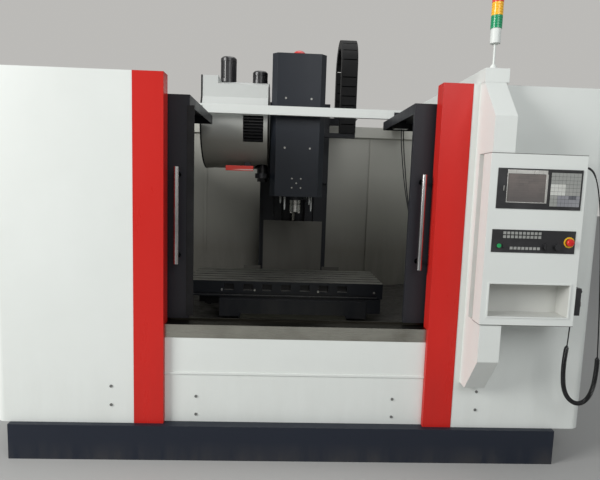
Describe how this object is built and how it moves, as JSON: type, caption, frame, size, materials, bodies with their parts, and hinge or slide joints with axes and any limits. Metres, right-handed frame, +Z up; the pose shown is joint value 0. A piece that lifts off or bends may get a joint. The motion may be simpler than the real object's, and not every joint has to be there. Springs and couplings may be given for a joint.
{
  "type": "vertical machining center",
  "caption": "Vertical machining centre with a sliding-door enclosure, saddle and T-slot table, spindle head, side tool magazine with swing arm and a swivelling control pendant.",
  "frame": {"origin": "on the floor, midway between the corner foundation bolts, on the vertical plane of the spindle axis", "axes": "+X to the operator's right, along the table; +Y towards the back, along the bed; +Z up, along the spindle"},
  "size_m": [3.48, 3.0288, 2.918],
  "materials": {
    "case_white": "light textured powder coat",
    "post_red": "satin powder coat",
    "tank_slate": "satin dark enamel",
    "door_dark": "satin dark grey enamel",
    "interior_grey": "dusty grey enamel",
    "casting_dark": "dark enamel on cast iron",
    "cast_iron": "ground cast iron",
    "cover_slate": "satin dark enamel on sheet",
    "ground_steel": "ground and oiled",
    "stainless": "brushed stainless sheet",
    "motor_black": "gloss black enamel",
    "black_plastic": "fine matte grain",
    "unit_black": "black bezel",
    "cable_black": "black sheath",
    "lens_stack": "coloured lenses",
    "dome_red": "gloss enamel",
    "button_red": "moulded",
    "button_green": "moulded",
    "pane_clear": "clear safety pane",
    "chrome_wheel": "polished"
  },
  "bodies": {
    "frame": {"coolant_tank": "tank_slate", "bed": "tank_slate", "levelling_feet": "ground_steel", "column": "casting_dark", "left_panel": "case_white", "right_panel": "case_white", "rear_wall": "interior_grey", "door_posts": "post_red", "sill_panel": "case_white", "sill_trim": "stainless", "cross_beam": "interior_grey", "cable_duct": "case_white", "chip_trays": "interior_grey", "pillar": "case_white", "tower_stand": "case_white", "tower_lenses": "lens_stack", "cabinet": "case_white", "servo_motors": "motor_black", "way_cover_front": "stainless", "cam_box": "casting_dark", "magazine_cover": "case_white", "magazine_motors": "motor_black", "cable_carrier": "black_plastic"},
    "cabinet_door": {"cabinet_door": "case_white"},
    "cabinet_handle": {"cabinet_handle": "black_plastic"},
    "y_screw": {"y_screw": "ground_steel"},
    "z_screw": {"z_screw": "ground_steel"},
    "x_screw": {"x_screw": "ground_steel"},
    "way_cover_mid": {"way_cover_mid": "stainless"},
    "saddle": {"saddle": "casting_dark", "x_motor": "motor_black", "way_cover_rear": "stainless"},
    "table": {"table": "cast_iron"},
    "head": {"head": "casting_dark", "head_cover": "cover_slate", "spindle_motor": "motor_black", "drawbar_cylinder": "dome_red", "coolant_nozzles": "ground_steel"},
    "spindle": {"spindle": "ground_steel"},
    "tool_disc": {"tool_disc": "cast_iron"},
    "change_pot": {"change_pot": "black_plastic"},
    "arm_shaft": {"arm_shaft": "ground_steel"},
    "tool_arm": {"tool_arm": "ground_steel"},
    "left_door": {"left_door": "door_dark", "left_window": "pane_clear", "left_handle": "chrome_wheel"},
    "right_door": {"right_door": "door_dark", "right_window": "pane_clear", "right_handle": "chrome_wheel", "work_lamp": "black_plastic", "lamp_cable": "cable_black"},
    "pendant": {"pendant": "case_white", "control_unit": "unit_black", "operator_panel": "unit_black", "handset": "black_plastic", "handset_cord": "cable_black"},
    "emergency_stop": {"emergency_stop": "button_red"},
    "feed_dial": {"feed_dial": "black_plastic"},
    "start_button": {"start_button": "button_green"},
    "hand_wheel": {"hand_wheel": "chrome_wheel"}
  },
  "joints": [
    {"name": "left_door_slide", "type": "slide", "parent": "frame", "child": "left_door", "axis": [1, 0, 0], "range_m": [0, 0.649]},
    {"name": "right_door_slide", "type": "slide", "parent": "frame", "child": "right_door", "axis": [-1, 0, 0], "range_m": [0, 0.649]},
    {"name": "saddle_slide", "type": "slide", "parent": "frame", "child": "saddle", "axis": [0, 1, 0], "range_m": [-0.21, 0.39]},
    {"name": "table_slide", "type": "slide", "parent": "saddle", "child": "table", "axis": [1, 0, 0], "range_m": [-0.44, 0.56]},
    {"name": "head_slide", "type": "slide", "parent": "frame", "child": "head", "axis": [0, 0, 1], "range_m": [-0.35, 0.3], "deforming": ["cable_carrier"]},
    {"name": "spindle_turn", "type": "hinge", "parent": "head", "child": "spindle", "pos_m": [0, 0.17, 1.4], "axis": [0, 0, -1], "continuous": true},
    {"name": "y_screw_turn", "type": "hinge", "parent": "frame", "child": "y_screw", "pos_m": [0, 0, 0.44], "axis": [0, 1, 0], "continuous": true},
    {"name": "z_screw_turn", "type": "hinge", "parent": "frame", "child": "z_screw", "pos_m": [0, 0.83, 1.5], "axis": [0, 0, 1], "continuous": true},
    {"name": "x_screw_turn", "type": "hinge", "parent": "saddle", "child": "x_screw", "pos_m": [0, 0.08, 0.705], "axis": [1, 0, 0], "continuous": true},
    {"name": "way_cover_mid_slide", "type": "slide", "parent": "frame", "child": "way_cover_mid", "axis": [0, 1, 0], "range_m": [-0.105, 0.195]},
    {"name": "disc_turn", "type": "hinge", "parent": "frame", "child": "tool_disc", "pos_m": [-0.56, 0.35, 2.1], "axis": [-1, 0, 0], "range_deg": [-360, 360]},
    {"name": "pot_tilt", "type": "hinge", "parent": "tool_disc", "child": "change_pot", "pos_m": [-0.56, 0.35, 1.8], "axis": [0, -1, 0], "range_deg": [0, 90]},
    {"name": "arm_stroke", "type": "slide", "parent": "frame", "child": "arm_shaft", "axis": [0, 0, 1], "range_m": [-0.115, 0]},
    {"name": "arm_swing", "type": "hinge", "parent": "arm_shaft", "child": "tool_arm", "pos_m": [-0.28, 0.26, 1.667], "axis": [0, 0, 1], "range_deg": [-12, 0]},
    {"name": "cabinet_door_hinge", "type": "hinge", "parent": "frame", "child": "cabinet_door", "pos_m": [-0.609, 1.589, 1.2], "axis": [0, 0, 1], "range_deg": [0, 110]},
    {"name": "cabinet_handle_turn", "type": "hinge", "parent": "cabinet_door", "child": "cabinet_handle", "pos_m": [0.538, 1.59, 1.25], "axis": [0, 1, 0], "range_deg": [0, 90]},
    {"name": "pendant_swivel", "type": "hinge", "parent": "frame", "child": "pendant", "pos_m": [1.0525, -1.3025, 1.37], "axis": [0, 0, 1], "range_deg": [-90, 0]},
    {"name": "emergency_stop_press", "type": "slide", "parent": "pendant", "child": "emergency_stop", "axis": [0, 1, 0], "range_m": [0, 0.006], "stiffness_N_per_m": 1500, "springref_m": -0.002},
    {"name": "feed_dial_turn", "type": "hinge", "parent": "pendant", "child": "feed_dial", "pos_m": [1.295, -1.385, 1.345], "axis": [0, -1, 0], "range_deg": [-135, 135]},
    {"name": "start_button_press", "type": "slide", "parent": "pendant", "child": "start_button", "axis": [0, 1, 0], "range_m": [0, 0.003], "stiffness_N_per_m": 1000, "springref_m": -0.002},
    {"name": "hand_wheel_turn", "type": "hinge", "parent": "pendant", "child": "hand_wheel", "pos_m": [1.524, -1.33, 1.03], "axis": [1, 0, 0], "continuous": true}
  ],
  "couplings": [
    {"joint": "y_screw_turn", "follows": "saddle_slide", "rad_per_m": 523.6},
    {"joint": "x_screw_turn", "follows": "table_slide", "rad_per_m": 523.6},
    {"joint": "z_screw_turn", "follows": "head_slide", "rad_per_m": 523.6},
    {"joint": "way_cover_mid_slide", "follows": "saddle_slide", "ratio": 0.5}
  ]
}
